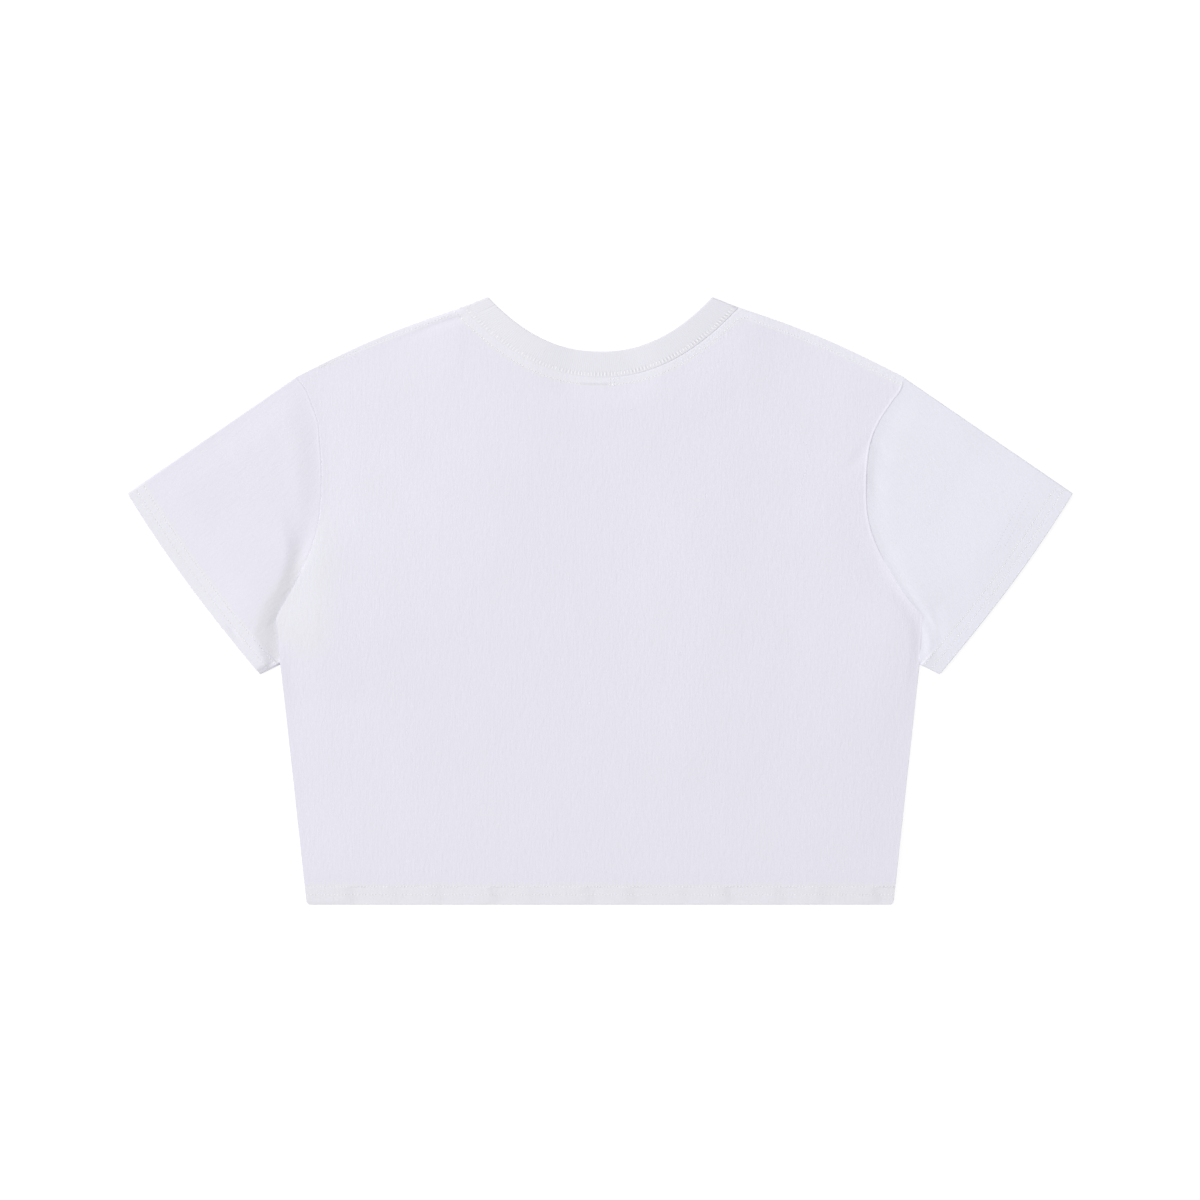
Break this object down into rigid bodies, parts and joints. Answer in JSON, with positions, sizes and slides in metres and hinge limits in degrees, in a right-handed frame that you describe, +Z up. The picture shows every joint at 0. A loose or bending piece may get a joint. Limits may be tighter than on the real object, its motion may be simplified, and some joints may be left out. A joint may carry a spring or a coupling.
{
  "type": "baby tee",
  "caption": "Cropped boxy short-sleeved cotton jersey tee with a rib crew neck, laid flat with its back up.",
  "frame": {"origin": "on the surface the tee lies on, under the middle of its outline", "axes": "+X across the body towards the wearer's right sleeve, +Y from hem to neck, +Z up out of the back panel"},
  "size_m": [0.7408, 0.4758, 0.0076],
  "materials": {
    "jersey": "matte single jersey, white with a cool cast",
    "rib": "matte fine rib knit, white",
    "tape": "matte jersey tape, white"
  },
  "bodies": {
    "root": {"back_panel": "jersey", "front_panel": "jersey", "sleeve_left": "jersey", "sleeve_right": "jersey", "neck_rib": "rib", "neck_tape": "tape"}
  },
  "joints": []
}
